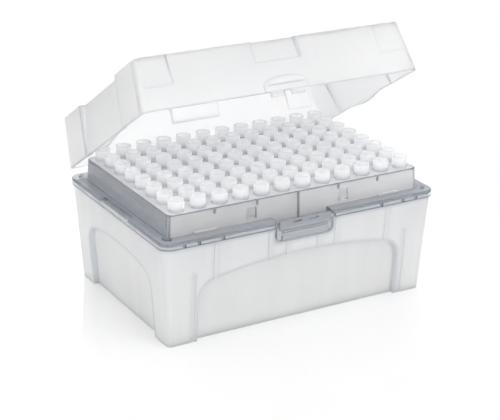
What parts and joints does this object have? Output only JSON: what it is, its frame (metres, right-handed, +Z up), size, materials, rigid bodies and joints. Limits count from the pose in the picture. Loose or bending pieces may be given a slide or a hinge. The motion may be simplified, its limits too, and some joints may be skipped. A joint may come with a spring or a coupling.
{
  "type": "pipette tip rack box",
  "caption": "Hinged rack box of pipette tips: frosted tub with arched legs, grey carrier ring, perforated tray holding a grid of open tips, milky lid on snap hinges, rocker latch.",
  "frame": {"origin": "centre of the base's underside, on the plane it rests on", "axes": "+X along the long side to the right, +Y from the latch side to the hinge side, +Z up"},
  "size_m": [0.1204, 0.0933, 0.1052],
  "materials": {
    "frosted_plastic": "frosted, translucent",
    "smoke_plastic": "smooth, smoky and slightly clear",
    "milky_plastic": "milky, lightly frosted",
    "tip_plastic": "natural, milky"
  },
  "bodies": {
    "rack": {"base_box": "frosted_plastic", "carrier_frame": "smoke_plastic", "tip_tray": "smoke_plastic", "tip_column_01": "tip_plastic", "tip_column_02": "tip_plastic", "tip_column_03": "tip_plastic", "tip_column_04": "tip_plastic", "tip_column_05": "tip_plastic", "tip_column_06": "tip_plastic", "tip_column_07": "tip_plastic", "tip_column_08": "tip_plastic", "tip_column_09": "tip_plastic", "tip_column_10": "tip_plastic", "tip_column_11": "tip_plastic", "tip_column_12": "tip_plastic"},
    "latch": {"release_latch": "smoke_plastic"},
    "cover": {"lid": "milky_plastic"}
  },
  "joints": [
    {"name": "lid_hinge", "type": "hinge", "parent": "rack", "child": "cover", "pos_m": [0, 0.04486, 0.04253], "axis": [-1, 0, 0], "range_deg": [-32.29, 75]},
    {"name": "latch_rocker", "type": "hinge", "parent": "rack", "child": "latch", "pos_m": [0, -0.0404, 0.0393], "axis": [1, 0, 0], "range_deg": [0, 8], "stiffness_Nm_per_rad": 0.05}
  ]
}
